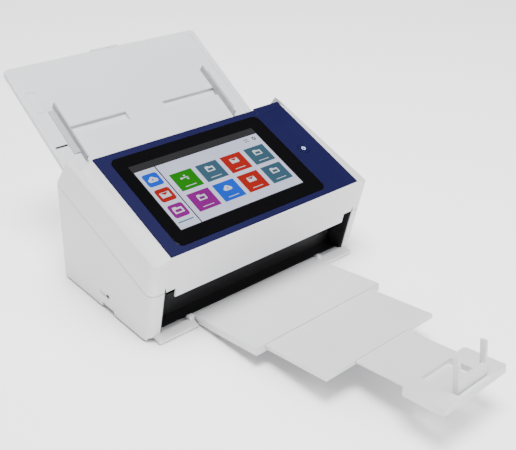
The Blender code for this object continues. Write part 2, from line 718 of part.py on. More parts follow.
def make_input_tray():
    """The input tray: hollow underneath, with slots for the side guides and a channel for the extension."""
    outline = rounded(-TRAY_HALF, TRAY_START, TRAY_HALF, TRAY_END, 6.0, 3)
    tray = plate("input_tray", outline, -TRAY_THICK, 0, TRAY, "tray")
    for side in (-1, 1):
        x0, x1 = sorted((side * 66.0, side * 139.5))
        low, high = GUIDE_KEEL_S[0] - 4, GUIDE_KEEL_S[1] + 4
        cut(tray, box(f"cut_pocket_low_{side}", (x0, 34, -10), (x1, low, -2.2), TRAY))
        cut(tray, box(f"cut_pocket_high_{side}", (x0, high, -10), (x1, TRAY_END - 4, -2.2), TRAY))
        x0, x1 = sorted((side * (GUIDE_WALL_X[1] - GUIDE_TRAVEL - 5), side * (GUIDE_WALL_X[1] + 6)))
        cut(tray, box(f"cut_guide_slot_{side}", (x0, GUIDE_KEEL_S[0] - 0.4, GUIDE_SLOT_FLOOR),
                      (x1, GUIDE_KEEL_S[1] + 0.4, 10), TRAY))
        x0, x1 = sorted((side * 137.8, side * 150.0))
        cut(tray, rod(f"cut_tray_pin_{side}", 2.2, x0, x1, TRAY_PIVOT, TRAY, sides=16))
    cut(tray, box("cut_extension_channel", (-55.5, 104, -4.6), (55.5, TRAY_END + 5, -1.6), TRAY))
    return tray


def make_input_extension():
    end = TRAY_END + 2.0
    sheet = box("input_extension", (-55.2, 106, -4.3), (55.2, end, -1.9), TRAY, "tray")
    join(sheet, box("extension_grip", (-20, TRAY_END + 0.5, -4.3), (20, TRAY_END + 3.0, 0.0), TRAY))
    return sheet


def make_side_guide(side):
    """A side guide: a wall, a foot that lies on the tray, and a keel in the tray's slot."""
    name = ("left" if side < 0 else "right") + "_guide"

    def span(a, b):
        return sorted((side * a, side * b))

    x0, x1 = span(*GUIDE_WALL_X)
    guide = box(name, (x0, GUIDE_SPAN[0], GAP), (x1, GUIDE_SPAN[1], GUIDE_HEIGHT), TRAY, "guide")
    x0, x1 = span(GUIDE_WALL_X[0] + 0.5, 121.3)
    join(guide, box(name + "_foot", (x0, 53.5, GAP), (x1, 119.8, 1.5), TRAY))
    x0, x1 = span(GUIDE_WALL_X[1] - 1, GUIDE_WALL_X[1] + 4)
    low, high = GUIDE_KEEL_S
    join(guide, box(name + "_keel", (x0, low, GUIDE_SLOT_FLOOR + 0.4), (x1, high, 1.0), TRAY))
    return guide


def make_output_tray():
    """The first stage: a flat box hinged behind the lip, open at its front end for the second stage."""
    half, length = STAGE_1
    bottom = OUT_TOP - 9.0
    outline = [(3.4, OUT_TOP), (-length, OUT_TOP), (-length, bottom), (-8, bottom), (3.4, -2.4)]
    tray = prism("output_tray", outline, -half, half, OUTPUT, "white")
    cut(tray, box("cut_stage_2_bay", (-82.2, -length - 5, bottom + 1.5), (82.2, -9.0, OUT_TOP - 1.5), OUTPUT))
    join(tray, rod("tray_trunnion", 1.8, -half - 3.8, half + 3.8, (0, 0), OUTPUT, sides=16))
    return tray


def make_output_extension():
    """The second stage, which slides in the first and holds the third."""
    half, near, far = STAGE_2
    top, bottom = OUT_TOP - 1.9, OUT_TOP - 7.1
    stage = box("output_extension", (-half, -far, bottom), (half, -near, top), OUTPUT, "white")
    cut(stage, box("cut_stage_3_bay", (-40.6, -far - 5, bottom + 1.3), (40.6, -near - 5, top - 1.3), OUTPUT))
    return stage


def make_output_end():
    """The third stage: a tongue inside the second, and an end plate whose pocket takes the folded stop."""
    half, near = END_PLATE
    top, bottom = OUT_TOP - 0.4, OUT_TOP - 8.4
    plate_outline = rounded(-half, -OUT_LENGTH, half, -near, 4.0, 4)
    end = plate("output_end_tray", plate_outline, bottom, top, OUTPUT, "white")
    tongue_top, tongue_bottom = OUT_TOP - 3.6, OUT_TOP - 5.4
    tongue_end = -STAGE_2[2] + 14
    join(end, box("end_tongue", (-40.2, -near - 2, tongue_bottom), (40.2, tongue_end, tongue_top), OUTPUT))
    y, _ = STOP_PIVOT
    edge, front, back = STOP_HALF + 0.5, y - 2.6, y + STOP_HEIGHT + 0.8
    cut(end, box("cut_stop_pocket", (-edge, front, top - 5.2), (edge, back, top + 5), OUTPUT))
    for side in (-1, 1):
        x0, x1 = sorted((side * (STOP_HALF - STOP_POST - 0.5), side * edge))
        cut(end, box(f"cut_post_slot_{side}", (x0, front, bottom - 1), (x1, back, top + 5), OUTPUT))
    cut(end, rod("cut_stop_pivot", 1.5, -STOP_HALF - 3.4, STOP_HALF + 3.4, STOP_PIVOT, OUTPUT, sides=12))
    return end


def make_paper_stop():
    """The flip-up stop: two deep posts and a flat crossbar on a pivot in the end plate's pocket."""
    y, z = STOP_PIVOT
    front, bar_back, back = STOP_DEPTH
    foot, top, inner = front, STOP_HEIGHT, STOP_HALF - STOP_POST
    axis = empty("paper_stop_axis", OUTPUT, (0, y, z))
    stop = box("paper_stop", (-STOP_HALF, front, foot), (STOP_HALF, back, top), axis, "white")
    cut(stop, box("cut_stop_window", (-inner, front - 1, STOP_BAR_TOP), (inner, back + 1, top + 1), axis))
    cut(stop, box("cut_stop_back", (-inner, bar_back, foot - 1), (inner, back + 1, top + 1), axis))
    join(stop, rod("stop_trunnion", 1.2, -STOP_HALF - 3.0, STOP_HALF + 3.0, (0, 0), axis, sides=12))
    return stop


clear_scene()
PARTS = new_collection("document_scanner")
CUTTERS = new_collection("cutters")
CUTTERS.hide_render = True
LOOKS = {
    "white": material("white_plastic", (0.80, 0.80, 0.82), 0.45),
    "tray": material("tray_plastic", (0.74, 0.75, 0.78), 0.5),
    "guide": material("guide_plastic", (0.55, 0.56, 0.60), 0.5),
    "blue": material("blue_panel", (0.022, 0.028, 0.12), 0.4),
    "black": material("black_plastic", (0.02, 0.02, 0.022), 0.5),
    "dark": material("dark_plastic", (0.06, 0.06, 0.065), 0.5),
    "glass": material("glass", (0.01, 0.01, 0.012), 0.08),
    "board": material("circuit_board", (0.02, 0.16, 0.07), 0.5),
    "steel": material("steel", (0.6, 0.6, 0.62), 0.35, 1.0),
    "brass": material("brass", (0.72, 0.52, 0.2), 0.35, 1.0),
    "rubber": material("rubber", (0.035, 0.035, 0.038), 0.85),
}
PORT_HOLES = (("power_inlet", (-128, 14), (-112, 26)), ("usb_port", (-98, 14), (-84, 26)),
              ("network_port", (-72, 13), (-54, 28)))
STOP_PIVOT = (-OUT_LENGTH + 6.5, OUT_TOP - 2.9)

MACHINE = empty("machine", None, (0, ORIGIN_Y, 0))
COVER = machine_space_on("cover_axis", (0, *HINGE))
PANEL = empty("panel_space", COVER, (0, 0, PANEL_FRONT_Z), PANEL_SLOPE)
PATH = empty("path_space", MACHINE, (0, *PATH_AT), PATH_SLOPE)
COVER_PATH = empty("cover_path_space", COVER, (0, *PATH_AT), PATH_SLOPE)
TRAY_AXIS = empty("input_tray_axis", PATH, (0, *TRAY_PIVOT))
TRAY = empty("input_tray_space", TRAY_AXIS, (0, -TRAY_PIVOT[0], -TRAY_PIVOT[1]))
OUTPUT = empty("output_tray_axis", MACHINE, (0, *OUT_PIVOT), -OUT_SLOPE)

make_bottom_pan()
make_rear_cover()
for hand in (-1, 1):
    make_side_cover(hand)
    make_frame(hand)
make_exit_liner()
make_cover_shell()
make_control_panel()
make_display()
make_button()
make_lever()
make_lower_guide()
make_upper_guide()
make_scan_units()
make_driven_rollers()
make_idlers()
make_motor_and_belt()
make_electronics()
make_feet()
make_pins()
make_input_tray()
make_input_extension()
for hand in (-1, 1):
    make_side_guide(hand)
make_output_tray()
make_output_extension()
make_output_end()
make_paper_stop()
bpy.context.view_layer.update()
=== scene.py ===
import json
import math

import bmesh
import bpy
from mathutils import Matrix, Vector


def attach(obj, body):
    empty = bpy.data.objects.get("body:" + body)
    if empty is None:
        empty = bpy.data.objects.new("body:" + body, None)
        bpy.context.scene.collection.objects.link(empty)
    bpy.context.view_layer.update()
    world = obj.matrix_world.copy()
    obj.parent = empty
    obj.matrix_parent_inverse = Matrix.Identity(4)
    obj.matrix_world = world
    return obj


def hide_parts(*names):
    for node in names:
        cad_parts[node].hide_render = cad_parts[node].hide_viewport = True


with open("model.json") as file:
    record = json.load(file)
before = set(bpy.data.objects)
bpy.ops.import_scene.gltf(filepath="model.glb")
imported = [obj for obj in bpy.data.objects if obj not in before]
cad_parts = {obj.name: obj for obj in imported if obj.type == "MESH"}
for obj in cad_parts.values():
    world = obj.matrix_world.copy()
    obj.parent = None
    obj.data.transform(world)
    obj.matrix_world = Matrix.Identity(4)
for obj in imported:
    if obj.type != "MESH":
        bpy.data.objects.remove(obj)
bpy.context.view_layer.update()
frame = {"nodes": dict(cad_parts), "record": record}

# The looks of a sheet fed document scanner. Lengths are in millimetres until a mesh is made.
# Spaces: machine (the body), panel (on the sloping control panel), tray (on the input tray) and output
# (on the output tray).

NODES = frame["nodes"]
BODY_OF = {n: body for body, nodes in frame["record"]["behaviour"]["bodies"].items() for n in nodes}
SLOT_OF = {part["node"]: part["material_slot"] for part in frame["record"]["subparts"]}

MM = 0.001
ORIGIN_Y = -28.25

# Body outline
HALF_WIDTH = 159.0
PANEL_HALF = 138.0
PANEL_FRONT_Z = 112.2
PANEL_SLOPE = math.radians(21.37)
FRONT_LEAN = 0.2113
SHOULDER_FRONT_Z = 104.1
SHOULDER_REAR = (167.2, 162.7)
CHAMFER = (195.2, 130.5)
REAR_Y = 199.3
FLOOR_Z = 3.0
SEAM_Z = 66.4
SEAM_BEND_Y = 20.0
SEAM_RISE = 0.354

# Roundings of the moulded shells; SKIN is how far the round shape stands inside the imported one
SHARP_ANGLE = math.radians(32.0)
EDGE_SEGMENTS = 2
FILLET_STEPS = 4
SKIN = 0.02
CORNER_R = 9.0
SIDE_R = 2.2
EDGE_R = {"front_foot": 0.4, "front_top": 0.7, "rear_top": 3.0, "chamfer": 4.0, "rear_foot": 1.0}

# Groove along the seam: its half height and depth, and the half width of the front lip that it skips
SEAM_GROOVE = (0.45, 0.7)
SEAM_END = 240.0
LIP_HALF = 127.35

# Left side cover, in machine space: low and high corner of each cutter, then the insert in the recess
SIDE_RECESS = ((-165, 96, 19.5), (-158.0, 117, 25.5))
FINGER_NOTCH = ((-165, 88, 0), (-155.9, 113, 8.7))
RECESS_INSERT = (96.6, 20.0, 103.0, 23.0, 0.9)
RECESS_INSERT_X = (-158.6, -158.1)

# Screen, in panel space
GLASS_TOP = 0.4
LAYER_LIFT = 0.02
LAYER_STEP = 0.06
LAYER_THICK = 0.05
SCREEN = (-107.6, 27.4, 70.6, 130.2)
PAGE_INSET = 0.9
DIVIDER_HALF = 0.7
STATUS_BAR_V = 119.8
SIDEBAR_X = -79.6
TILE = (30.0, 27.5)
TILE_X = (-57.6, -21.7, 14.0, 50.0)
TILE_V = (88.0, 54.6)
PICTURE_LIFT = 3.5
PICTURE_SIZE = 11.0
CAPTION_DROP = 9.0
CAPTION = (15.0, 0.8)
ICON = 19.5
ICON_R = 3.2
ICON_SHIFT = 0.6
ICON_V = (103.0, 78.2, 53.0)
SIGN_SIZE = 12.0
SIDE_BAR = (-94.0, 37.5, 20.0, 1.6)
DOTS_AT = (49.4, 113.6)
DOT_OFFSETS = ((-1.7, -1.7), (1.7, -1.7), (-1.7, 1.7), (1.7, 1.7))
DOT_R = 1.1
GEAR_AT = (61.5, 113.6)
GEAR_R = 3.0
GEAR_EYE_R = 1.2

# Mark on the power button, in panel space: the ring's radii and span in degrees, then the stroke's
# half width and ends. Each Z pair is the low and high face.
BUTTON_AT = (111.1, 74.4)
RING_Z = (0.52, 0.58)
MARK_RADII = (1.8, 2.6)
MARK_SPAN = (120, 420)
STROKE_Z = (0.54, 0.61)
STROKE_HALF = 0.4
STROKE_ENDS = (0.6, 3.0)
STROKE_R = 0.3

# Origins (y, z) and slopes of the tray spaces
TRAY_PATH = (170.0, 117.8)
PATH_SLOPE = math.radians(32.08)
OUT_PIVOT = (24.0, 8.5)
OUT_SLOPE = math.radians(8.5)

# Input tray, in tray space
FINGER_PAD = (-136, 120, -122, 153)
PAD_CORNER_R = 3.5
PAD_GROOVE = (1.0, 0.6)
NOTCH = (-138.0, 67.0, -122.0, 69.8)
NOTCH_FLOOR = -0.9
# The black slab in the index notch is painted shade that stands for the darkness of a deep notch: its
# margin inside the notch, then its low and high face
NOTCH_PAINTED_SHADE_MARGIN = 0.3
NOTCH_PAINTED_SHADE_Z = (-0.85, -0.15)
RIGHT_CHANNEL = ((131, 32, -0.7), (134.5, 186, 3))

# End plate, in output space
PLATE_TOP = 1.1
PLATE_BACK_Y = -255.0
LIP_BACK_Y = -304.6
LIP_STEP = 0.5

# Studio, in metres and watts apart from the floor, which is in millimetres
FLOOR_HALF = 4000
FLOOR_Z_RANGE = (-20, -0.2)
FLOOR_GLOW = 1.5
# Painted contact shadow on the floor: the reach in metres of the ambient occlusion that lowers the floor's
# glow, and the occlusion at and below which the glow is gone
PAINTED_SHADOW_REACH = 0.09
PAINTED_SHADOW_DARKEST_AO = 0.35
KEY_LIGHT = {"at": (0.8, -1.9, 1.3), "target": (0, 0, 0.05), "size": 1.4, "power": 22}
TOP_LIGHT = {"at": (-0.3, -0.3, 2.4), "target": (0, 0, 0.1), "size": 1.2, "power": 112}
SKY_COLOUR = (0.98, 0.99, 1.0, 1)
SKY_STRENGTH = 0.07
CAMERA_AT = (-0.5356, -0.6035, 0.5478)
CAMERA_HEADING = (0.5787, 0.6490, -0.4939)
CAMERA_ROLL = math.radians(1.2)
CAMERA_LENS = 56.55


def space(y, z, tilt):
    return Matrix.Translation(Vector((0, y + ORIGIN_Y, z)) * MM) @ Matrix.Rotation(tilt, 4, "X")


MACHINE = space(0, 0, 0)
PANEL = space(0, PANEL_FRONT_Z, PANEL_SLOPE)
TRAY = space(*TRAY_PATH, PATH_SLOPE)
OUTPUT = space(*OUT_PIVOT, -OUT_SLOPE)
# Carries a (y, z) outline in machine space, so that its thickness runs along X
SIDEWAYS = MACHINE @ Matrix.Rotation(math.pi / 2, 4, "Z") @ Matrix.Rotation(math.pi / 2, 4, "X")


# ---------------------------------------------------------------- materials

def wire(tree, source, target):
    tree.links.new(source, target)


def noise(tree, coords, scale, detail, stretch=None):
    """A noise texture in object space, optionally stretched along an axis."""
    source = coords.outputs["Object"]
    if stretch:
        mapping = tree.nodes.new("ShaderNodeMapping")
        mapping.inputs["Scale"].default_value = stretch
        wire(tree, source, mapping.inputs["Vector"])
        source = mapping.outputs["Vector"]
    texture = tree.nodes.new("ShaderNodeTexNoise")
    texture.inputs["Scale"].default_value = scale
    texture.inputs["Detail"].default_value = detail
    wire(tree, source, texture.inputs["Vector"])
    return texture.outputs["Fac"]


def spread(tree, value, low, high):
    """Maps a noise value's usual range onto low to high."""
    node = tree.nodes.new("ShaderNodeMapRange")
    node.inputs["From Min"].default_value = 0.3
    node.inputs["From Max"].default_value = 0.7
    node.inputs["To Min"].default_value = low
    node.inputs["To Max"].default_value = high
    wire(tree, value, node.inputs["Value"])
    return node.outputs["Result"]


def tinted(tree, value, first, second):
    node = tree.nodes.new("ShaderNodeMix")
    node.data_type = "RGBA"
    colours = [socket for socket in node.inputs if socket.type == "RGBA"]
    colours[0].default_value = (*first, 1)
    colours[1].default_value = (*second, 1)
    wire(tree, value, node.inputs["Factor"])
    return next(socket for socket in node.outputs if socket.type == "RGBA")


def finish_of(name, colour, roughness, grain, relief, tone=0.04, metallic=0.0, stretch=None,
              specular=0.5, spread_roughness=0.06):
    """A moulded or rolled surface: fine grain in the bump and the gloss, broad drift in the colour."""
    made = bpy.data.materials.new(name)
    made.use_nodes = True
    tree = made.node_tree
    shader = tree.nodes["Principled BSDF"]
    shader.inputs["Metallic"].default_value = metallic
    shader.inputs["Specular IOR Level"].default_value = specular
    coords = tree.nodes.new("ShaderNodeTexCoord")
    broad = noise(tree, coords, 14.0, 4.0)
    fine = noise(tree, coords, grain, 4.0, stretch)
    drift = spread(tree, broad, 0.0, 1.0)
    darker = [max(0.0, c * (1 - tone)) for c in colour]
    lighter = [min(1.0, c * (1 + tone)) for c in colour]
    wire(tree, tinted(tree, drift, darker, lighter), shader.inputs["Base Color"])
    gloss = spread(tree, fine, roughness - spread_roughness, roughness + spread_roughness)
    wire(tree, gloss, shader.inputs["Roughness"])
    bump = tree.nodes.new("ShaderNodeBump")
    bump.inputs["Strength"].default_value = relief
    bump.inputs["Distance"].default_value = 0.0001
    wire(tree, fine, bump.inputs["Height"])
    wire(tree, bump.outputs["Normal"], shader.inputs["Normal"])
    return made


def lit(name, colour, strength):
    """A lit patch of the screen, with the fine unevenness of a backlight."""
    made = bpy.data.materials.new(name)
    made.use_nodes = True
    tree = made.node_tree
    shader = tree.nodes["Principled BSDF"]
    shader.inputs["Roughness"].default_value = 0.12
    shader.inputs["Emission Strength"].default_value = strength
    coords = tree.nodes.new("ShaderNodeTexCoord")
    drift = spread(tree, noise(tree, coords, 30.0, 2.0), 0.0, 1.0)
    glow = tinted(tree, drift, [c * 0.95 for c in colour], colour)
    wire(tree, glow, shader.inputs["Emission Color"])
    wire(tree, tinted(tree, drift, [c * 0.06 for c in colour], [c * 0.08 for c in colour]),
         shader.inputs["Base Color"])
    return made


LOOKS = {
    "white_plastic": finish_of("white_plastic", (0.80, 0.80, 0.82), 0.46, 1500, 0.30, 0.02),
    "tray_plastic": finish_of("tray_plastic", (0.74, 0.75, 0.78), 0.52, 1300, 0.35, 0.025),
    "guide_plastic": finish_of("guide_plastic", (0.44, 0.45, 0.48), 0.48, 1300, 0.30, 0.03),
    "blue_panel": finish_of("blue_panel", (0.0080, 0.0080, 0.050), 0.36, 1600, 0.20, 0.08, specular=0.20),
    "black_plastic": finish_of("black_plastic", (0.016, 0.016, 0.018), 0.50, 1200, 0.45, 0.12),
    "dark_plastic": finish_of("dark_plastic", (0.045, 0.045, 0.050), 0.52, 1200, 0.45, 0.10),
    "scan_glass": finish_of("scan_glass", (0.003, 0.003, 0.0035), 0.09, 60, 0.01, 0.10, specular=0.22,
                            spread_roughness=0.03),
    "circuit_board": finish_of("circuit_board", (0.015, 0.13, 0.055), 0.45, 500, 0.60, 0.18),
    "steel": finish_of("steel", (0.58, 0.58, 0.60), 0.34, 240, 0.25, 0.05, 1.0, (0.06, 1, 1)),
    "brass": finish_of("brass", (0.70, 0.50, 0.20), 0.32, 260, 0.25, 0.06, 1.0, (0.06, 1, 1)),
    "rubber": finish_of("rubber", (0.028, 0.028, 0.030), 0.82, 900, 0.70, 0.15),
}
SCREEN_LOOKS = {
    "page": lit("screen_page", (0.70, 0.72, 0.94), 1.12),
    "bar": lit("screen_bar", (0.045, 0.045, 0.050), 0.8),
    "line": lit("screen_line", (0.010, 0.010, 0.014), 0.5),
    "mark": lit("screen_mark", (0.80, 0.86, 0.92), 0.95),
    "dim": lit("screen_dim", (0.14, 0.17, 0.22), 0.8),
    "green": lit("screen_green", (0.018, 0.26, 0.010), 0.9),
    "slate": lit("screen_slate", (0.055, 0.135, 0.20), 0.9),
    "red": lit("screen_red", (0.50, 0.022, 0.016), 0.9),
    "magenta": lit("screen_magenta", (0.30, 0.010, 0.28), 0.9),
    "blue": lit("screen_blue", (0.006, 0.105, 0.82), 0.95),
    "teal": lit("screen_teal", (0.020, 0.22, 0.26), 0.9),
    "lamp": lit("button_lamp", (0.55, 0.78, 1.0), 3.0),
}


# ---------------------------------------------------------------- geometry

def add(name, mesh):
    obj = bpy.data.objects.new(name, mesh)
    bpy.context.scene.collection.objects.link(obj)
    return obj


def shaded(mesh):
    mesh.shade_smooth()
    mesh.set_sharp_from_angle(angle=SHARP_ANGLE)
    return mesh


def rounded(x0, y0, x1, y1, r, steps=6):
    corners = ((x1 - r, y1 - r, 0), (x0 + r, y1 - r, 90), (x0 + r, y0 + r, 180), (x1 - r, y0 + r, 270))
    return [(cx + r * math.cos(math.radians(start + 90 * i / steps)),
             cy + r * math.sin(math.radians(start + 90 * i / steps)))
            for cx, cy, start in corners for i in range(steps + 1)]


def circle(cx, cy, r, steps=32, start=0.0, end=360.0):
    count = steps if end - start >= 360 else steps + 1
    return [(cx + r * math.cos(math.radians(start + (end - start) * i / steps)),
             cy + r * math.sin(math.radians(start + (end - start) * i / steps))) for i in range(count)]


def slab_mesh(name, outline, z0, z1, place):
    """A closed plate from one outline in XY of a space."""
    bm = bmesh.new()
    low = [bm.verts.new(place @ (Vector((x, y, z0)) * MM)) for x, y in outline]
    high = [bm.verts.new(place @ (Vector((x, y, z1)) * MM)) for x, y in outline]
    bm.faces.new(low)
    bm.faces.new(high)
    for i in range(len(outline)):
        j = (i + 1) % len(outline)
        bm.faces.new((low[i], low[j], high[j], high[i]))
    bmesh.ops.recalc_face_normals(bm, faces=bm.faces)
    mesh = bpy.data.meshes.new(name)
    bm.to_mesh(mesh)
    bm.free()
    return mesh


def box_cutter(name, low, high, place):
    outline = [(low[0], low[1]), (high[0], low[1]), (high[0], high[1]), (low[0], high[1])]
    return add(name, slab_mesh(name, outline, low[2], high[2], place))


def bar_cutter(name, outline, x0, x1):
    """A cutter from a (y, z) outline in machine space, run along X."""
    return add(name, slab_mesh(name, outline, x0, x1, SIDEWAYS))


def apply_modifiers(obj):
    graph = bpy.context.evaluated_depsgraph_get()
    mesh = bpy.data.meshes.new_from_object(obj.evaluated_get(graph))
    obj.modifiers.clear()
    obj.data = mesh
    return obj


def combine(obj, others, operation="DIFFERENCE"):
    """Applies Booleans and removes the cutters."""
    for other in others:
        step = obj.modifiers.new("step", "BOOLEAN")
        step.operation, step.solver, step.object = operation, "EXACT", other
    apply_modifiers(obj)
    for other in others:
        bpy.data.objects.remove(other, do_unlink=True)
    return obj


def clean_copy(node, name):
    """A CAD node's shape as a new object with merged points and whole flat faces."""
    bm = bmesh.new()
    bm.from_mesh(NODES[node].data)
    bmesh.ops.remove_doubles(bm, verts=bm.verts, dist=2e-6)
    bmesh.ops.dissolve_limit(bm, angle_limit=math.radians(0.4), verts=bm.verts, edges=bm.edges)
    bmesh.ops.recalc_face_normals(bm, faces=bm.faces)
    mesh = bpy.data.meshes.new(name)
    bm.to_mesh(mesh)
    bm.free()
    return add(name, mesh)


def soften(obj, width):
    """Rounds the sharp edges if a width is given, and evens the shading of flat faces."""
    if width:
        step = obj.modifiers.new("edges", "BEVEL")
        step.width, step.segments = width * MM, EDGE_SEGMENTS
        step.limit_method, step.angle_limit = "ANGLE", SHARP_ANGLE
        step.use_clamp_overlap = True
        apply_modifiers(obj)
    shaded(obj.data)
    even = obj.modifiers.new("even", "WEIGHTED_NORMAL")
    even.mode, even.weight, even.keep_sharp = "FACE_AREA", 100, True
    return apply_modifiers(obj)


def settle(obj, node):
    """Gives a finished skin its finish and body, and lets it stand for the CAD node."""
    obj.data.materials.clear()
    obj.data.materials.append(LOOKS[SLOT_OF[node]])
    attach(obj, BODY_OF[node])
    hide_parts(node)
    return obj


def trim(name, mesh, look, body):
    """An added piece of surface detail that rides on a body."""
    obj = add(name, shaded(mesh))
    obj.data.materials.append(look)
    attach(obj, body)
    return obj


# ---------------------------------------------------------------- body shells

def filleted(points, radii):
    """A closed outline whose corners are rounded, each with its own radius and the same count of points."""
    out = []
    for i, corner in enumerate(points):
        here = Vector(corner)
        before = (Vector(points[i - 1]) - here).normalized()
        after = (Vector(points[(i + 1) % len(points)]) - here).normalized()
        half = before.angle(after) / 2
        reach = radii[i] / math.tan(half)
        start, end = here + before * reach, here + after * reach
        for k in range(FILLET_STEPS + 1):
            t = k / FILLET_STEPS
            out.append(tuple(start * (1 - t) ** 2 + here * 2 * t * (1 - t) + end * t**2))
    return out


def body_section(x, inset):
    side = max(0.0, (abs(x) - PANEL_HALF) / (HALF_WIDTH - PANEL_HALF))
    into = max(0.0, abs(x) + inset - (HALF_WIDTH - CORNER_R))
    back = CORNER_R - math.sqrt(max(0.0, CORNER_R**2 - into**2)) + inset
    edge = max(0.0, abs(x) + inset - (HALF_WIDTH - SIDE_R))
    fall = SIDE_R - math.sqrt(max(0.0, SIDE_R**2 - edge**2))
    drop = inset / math.cos(PANEL_SLOPE) + fall
    front_top = PANEL_FRONT_Z + side * (SHOULDER_FRONT_Z - PANEL_FRONT_Z)
    rear_top = PANEL_FRONT_Z + SHOULDER_REAR[0] * math.tan(PANEL_SLOPE)
    rear_top += side * (SHOULDER_REAR[1] - rear_top)
    rise = (rear_top - front_top) / SHOULDER_REAR[0]
    start = (PANEL_FRONT_Z - front_top) * FRONT_LEAN + back
    foot_z = FLOOR_Z + inset
    points = [
        ((PANEL_FRONT_Z - foot_z) * FRONT_LEAN + back, foot_z),
        (start, front_top + rise * start - drop),
        (SHOULDER_REAR[0] - 0.6 * inset - 0.5 * fall, rear_top - 1.2 * inset - fall),
        (CHAMFER[0] - inset - 0.3 * (back - inset) - 0.5 * fall, CHAMFER[1] - 0.5 * inset - 0.5 * fall),
        (REAR_Y - inset - 0.3 * (back - inset), foot_z),
    ]
    radii = [EDGE_R[edge] for edge in ("front_foot", "front_top", "rear_top", "chamfer", "rear_foot")]
    return filleted(points, radii)


def body_loft(name, inset):
    """The whole body as one fine loft, its upright corners and long edges round."""
    edge = HALF_WIDTH - CORNER_R
    reach = CORNER_R - inset
    right = [0.0, PANEL_HALF] + [edge + reach * math.sin(math.radians(a)) for a in range(0, 91, 9)]
    stations = [-x for x in reversed(right[1:])] + right
    bm = bmesh.new()
    rings = [[bm.verts.new(MACHINE @ (Vector((x, y, z)) * MM)) for y, z in body_section(x, inset)]
             for x in stations]
    for first, second in zip(rings, rings[1:]):
        for i in range(len(first)):
            j = (i + 1) % len(first)
            bm.faces.new((first[i], first[j], second[j], second[i]))
    bm.faces.new(rings[0])
    bm.faces.new(list(reversed(rings[-1])))
    bmesh.ops.triangulate(bm, faces=bm.faces)
    bmesh.ops.recalc_face_normals(bm, faces=bm.faces)
    mesh = bpy.data.meshes.new(name)
    bm.to_mesh(mesh)
    bm.free()
    return add(name, mesh)


def seam_groove():
    """A shallow channel round the outside where the cover meets the side covers."""
    half, depth = SEAM_GROOVE
    rear_z = SEAM_Z + (SEAM_END - SEAM_BEND_Y) * SEAM_RISE
    band = [(-40, SEAM_Z - half), (SEAM_BEND_Y, SEAM_Z - half), (SEAM_END, rear_z - half),
            (SEAM_END, rear_z + half), (SEAM_BEND_Y, SEAM_Z + half), (-40, SEAM_Z + half)]
    lip = box_cutter("seam_lip", (-LIP_HALF, -60, 0), (LIP_HALF, 40, 200), MACHINE)
    return combine(bar_cutter("seam_band", band, -170, 170), [body_loft("seam_core", depth), lip])


SHELLS = ("cover_shell", "left_side_cover", "right_side_cover", "rear_cover")


def make_shells():
    for node in SHELLS:
        skin = clean_copy(node, node + "_skin")
        combine(skin, [body_loft(node + "_round", SKIN)], "INTERSECT")
        cutters = [] if node == "rear_cover" else [seam_groove()]
        if node == "left_side_cover":
            cutters.append(box_cutter("side_recess", *SIDE_RECESS, MACHINE))
            cutters.append(box_cutter("finger_notch", *FINGER_NOTCH, MACHINE))
        if cutters:
            combine(skin, cutters)
        settle(soften(skin, 0), node)
    insert = slab_mesh("side_recess_insert", rounded(*RECESS_INSERT), *RECESS_INSERT_X, SIDEWAYS)
    trim("side_recess_insert", insert, LOOKS["black_plastic"], "base")


# ---------------------------------------------------------------- control panel and screen

def on_glass(name, outline, level, look):
    """A lit layer on the screen; level is how many layers it lies above the glass."""
    z = GLASS_TOP + LAYER_LIFT + level * LAYER_STEP
    layer = slab_mesh(name, outline, z, z + LAYER_THICK, PANEL)
    return trim("screen_" + name, layer, SCREEN_LOOKS[look], "cover")


def rectangle(cx, cv, w, h):
    return rounded(cx - w / 2, cv - h / 2, cx + w / 2, cv + h / 2, 0.4, 2)


def envelope(name, x, v, size, level, ground):
    on_glass(name, rectangle(x, v, size, size * 0.66), level, "mark")
    flap = [(x - size * 0.42, v + size * 0.27), (x, v - size * 0.04), (x + size * 0.42, v + size * 0.27)]
    on_glass(name + "_flap", flap, level + 1, ground)


def folder(name, x, v, size, level, ground):
    on_glass(name, rectangle(x, v, size, size * 0.66), level, "mark")
    tab = rectangle(x - size * 0.25, v + size * 0.39, size * 0.42, size * 0.12)
    on_glass(name + "_tab", tab, level, "mark")
    on_glass(name + "_window", rectangle(x, v - size * 0.03, size * 0.66, size * 0.32), level + 1, ground)


def cloud(name, x, v, size, level, ground):
    outline = circle(x + size * 0.30, v - size * 0.08, size * 0.22, 10, -90, 60)
    outline += circle(x, v + size * 0.10, size * 0.28, 12, 25, 160)
    outline += circle(x - size * 0.30, v - size * 0.08, size * 0.22, 10, 110, 270)
    on_glass(name, outline, level, "mark")
    arrow = [(x - size * 0.14, v - size * 0.08), (x + size * 0.14, v - size * 0.08), (x, v + size * 0.14)]
    on_glass(name + "_arrow", arrow, level + 1, ground)


def branches(name, x, v, size, level, _ground):
    """Takes the ground colour like the other pictograms, but shows none of it."""
    on_glass(name + "_stem", rectangle(x, v, size * 0.80, size * 0.10), level, "mark")
    on_glass(name + "_end", circle(x - size * 0.42, v, size * 0.13, 16), level + 1, "mark")
    on_glass(name + "_high", circle(x + size * 0.08, v + size * 0.26, size * 0.11, 16), level + 1, "mark")
    on_glass(name + "_low", circle(x + size * 0.26, v - size * 0.24, size * 0.11, 16), level + 1, "mark")


